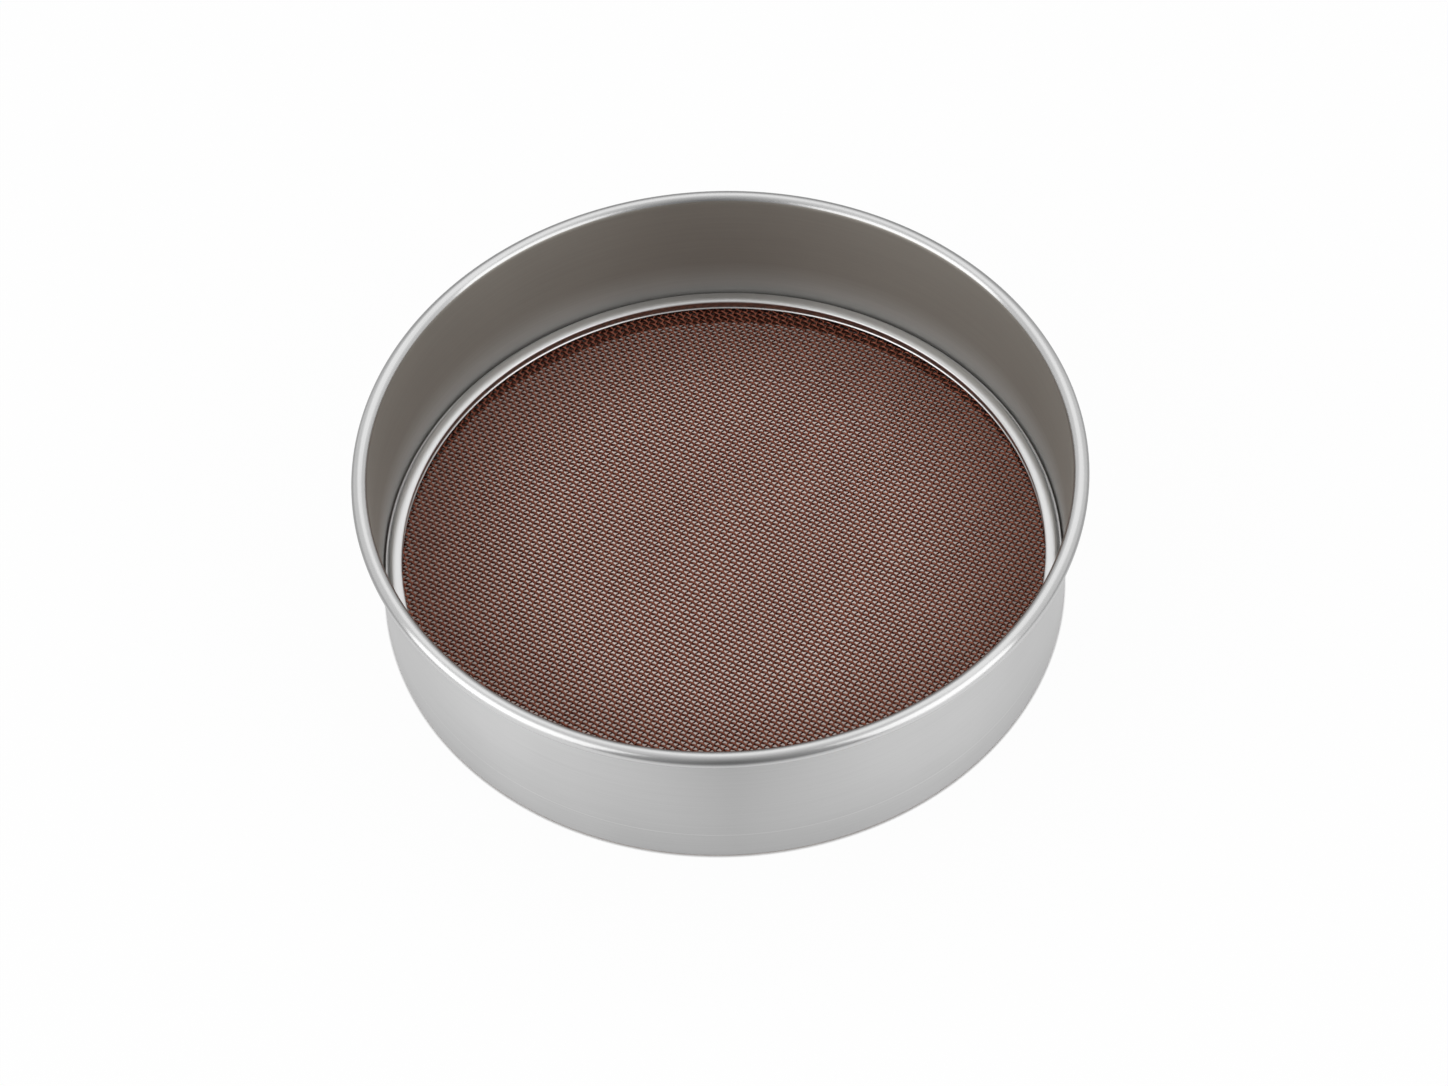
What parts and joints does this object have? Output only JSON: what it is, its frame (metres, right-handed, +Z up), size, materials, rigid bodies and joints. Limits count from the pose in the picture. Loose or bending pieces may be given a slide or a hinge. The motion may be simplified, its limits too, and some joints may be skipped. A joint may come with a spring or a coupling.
{
  "type": "flour sieve",
  "caption": "Round drum sieve: a low steel hoop with a rolled, wired rim and a flat disc of brown woven wire cloth clamped near the foot, for sifting flour by shaking.",
  "frame": {"origin": "centre of the hoop, at the level of the face that its foot stands on", "axes": "+Z up along the hoop's axis, out of the open mouth; the hoop is round, so X and Y are free, and the picture looks along +Y"},
  "size_m": [0.2106, 0.2106, 0.0533],
  "materials": {
    "hoop_steel": "satin, with faint brushing round the hoop",
    "wire_steel": "plain drawn wire",
    "seat_steel": "satin",
    "clamp_steel": "bright satin",
    "bronze_wire": "dark brown, slightly glossy wire"
  },
  "bodies": {
    "root": {"hoop": "hoop_steel", "rim_wire": "wire_steel", "seat_ring": "seat_steel", "clamp_ring": "clamp_steel", "wire_cloth": "bronze_wire"}
  },
  "joints": []
}
